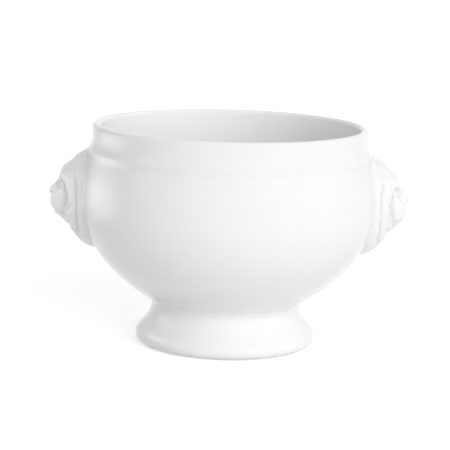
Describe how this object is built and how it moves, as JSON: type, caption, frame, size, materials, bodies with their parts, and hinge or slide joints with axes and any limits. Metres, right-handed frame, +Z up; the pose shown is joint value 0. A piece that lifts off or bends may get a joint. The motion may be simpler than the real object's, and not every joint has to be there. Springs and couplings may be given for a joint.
{
  "type": "footed soup crock",
  "caption": "Round white porcelain soup crock with a straight collar, a ledge, a hollow flared foot and a lion's mask as a lug on each side.",
  "frame": {"origin": "centre of the bare ring on which the crock stands", "axes": "+Z up along the bowl's axis, +X through the right lion head as seen from the front, -Y towards the viewer of the picture"},
  "size_m": [0.1586, 0.1302, 0.097],
  "materials": {
    "glazed_body": "glossy clear glaze over white porcelain",
    "glazed_foot": "glossy clear glaze, bare under the contact ring",
    "glazed_relief": "glossy clear glaze over pressed relief",
    "slip": "fired porcelain slip"
  },
  "bodies": {
    "root": {"bowl": "glazed_body", "foot": "glazed_foot", "foot_slip_joint": "slip", "lion_head_left": "glazed_relief", "left_head_slip_joint": "slip", "lion_head_right": "glazed_relief", "right_head_slip_joint": "slip"}
  },
  "joints": []
}
